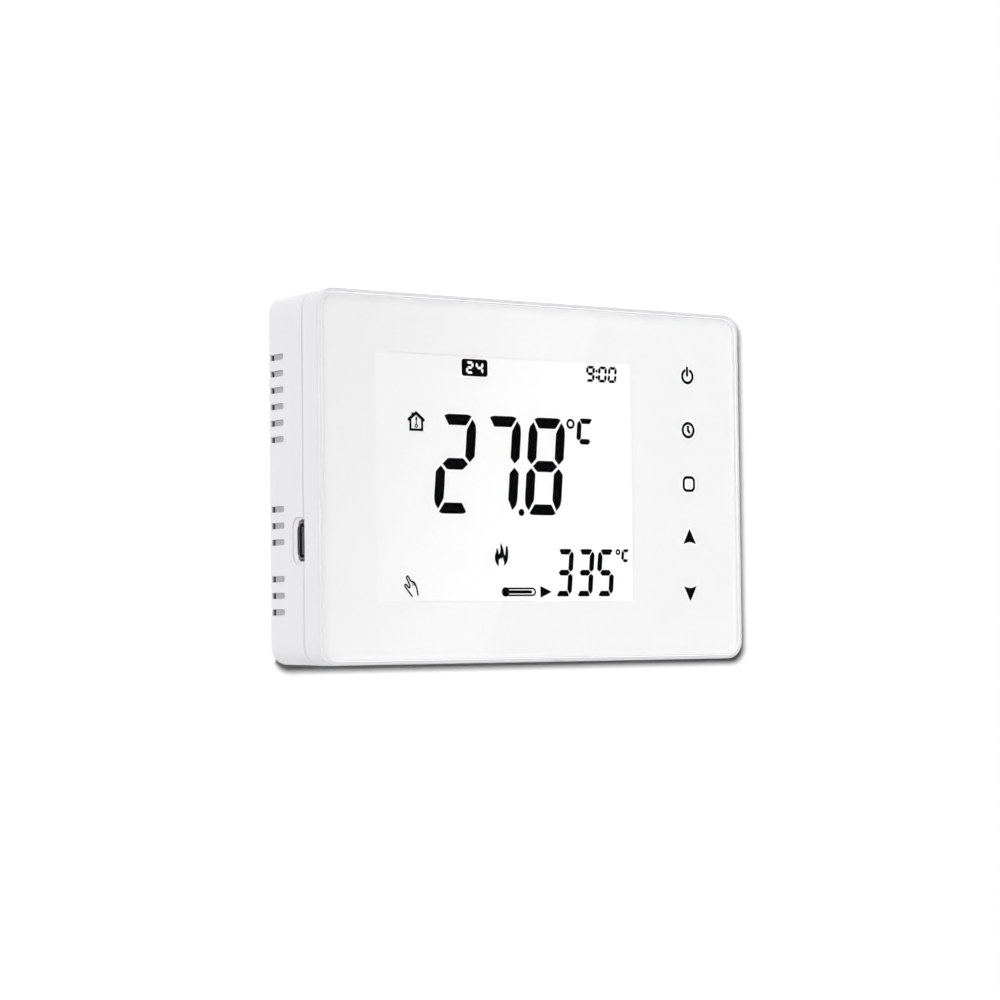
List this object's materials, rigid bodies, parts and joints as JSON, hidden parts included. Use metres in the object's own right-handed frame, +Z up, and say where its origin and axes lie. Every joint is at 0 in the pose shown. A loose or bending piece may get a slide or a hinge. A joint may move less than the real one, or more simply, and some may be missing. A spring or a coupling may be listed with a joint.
{
  "type": "wall thermostat",
  "caption": "Landscape touch-key room thermostat with a display under white glass, side vents and a USB socket, hooked on a screwed wall plate.",
  "frame": {"origin": "middle of the wall plate's back face, on the wall plane", "axes": "+X to the right seen from the room, +Y into the wall, +Z up; the display faces -Y"},
  "size_m": [0.13, 0.0235, 0.09],
  "materials": {
    "white_case": "fine satin texture",
    "white_plate": "matte",
    "panel_glass": "polished",
    "white_print": "screen print, matt white",
    "grey_tape": "foam tape",
    "polariser": "satin film",
    "lcd_glass": "polished",
    "clear_acrylic": "polished",
    "white_film": "matte",
    "white_moulding": "matte",
    "led_resin": "gloss",
    "silicone_strip": "matte",
    "conductive_foam": "matte",
    "board_laminate": "solder resist",
    "chip_resin": "matte",
    "black_moulding": "matte",
    "bright_metal": "bright",
    "tinned_wire": "enamelled steel strip",
    "zinc_screw": "zinc plated",
    "cell_steel": "polished",
    "sensor_resin": "gloss",
    "capacitor_can": "satin"
  },
  "bodies": {
    "wall_plate": {"wall_plate": "white_plate"},
    "thermostat": {"rear_housing": "white_case", "front_frame": "white_case", "touch_glass": "panel_glass", "glass_print": "white_print", "panel_tape": "grey_tape", "touch_pads": "conductive_foam", "reflector_film": "white_film", "light_guide": "clear_acrylic", "diffuser_film": "white_film", "rear_polariser": "polariser", "lcd_rear_glass": "lcd_glass", "lcd_front_glass": "lcd_glass", "front_polariser": "polariser", "lcd_holder": "white_moulding", "backlight_leds": "led_resin", "zebra_strip": "silicone_strip", "main_board": "board_laminate", "housing_screws": "zinc_screw", "board_screws": "zinc_screw", "usb_shell": "bright_metal", "usb_tongue": "black_moulding", "microcontroller": "chip_resin", "radio_board": "board_laminate", "radio_shield": "bright_metal", "antenna": "tinned_wire", "buzzer": "black_moulding", "clock_crystal": "bright_metal", "coin_cell_holder": "black_moulding", "coin_cell": "cell_steel", "cell_clip": "bright_metal", "capacitors": "capacitor_can", "voltage_regulator": "chip_resin", "temperature_sensor": "sensor_resin", "chip_resistors": "chip_resin"}
  },
  "joints": [
    {"name": "lift_off_hooks", "type": "slide", "parent": "wall_plate", "child": "thermostat", "axis": [0, 0, 1], "range_m": [0, 0.004]}
  ]
}
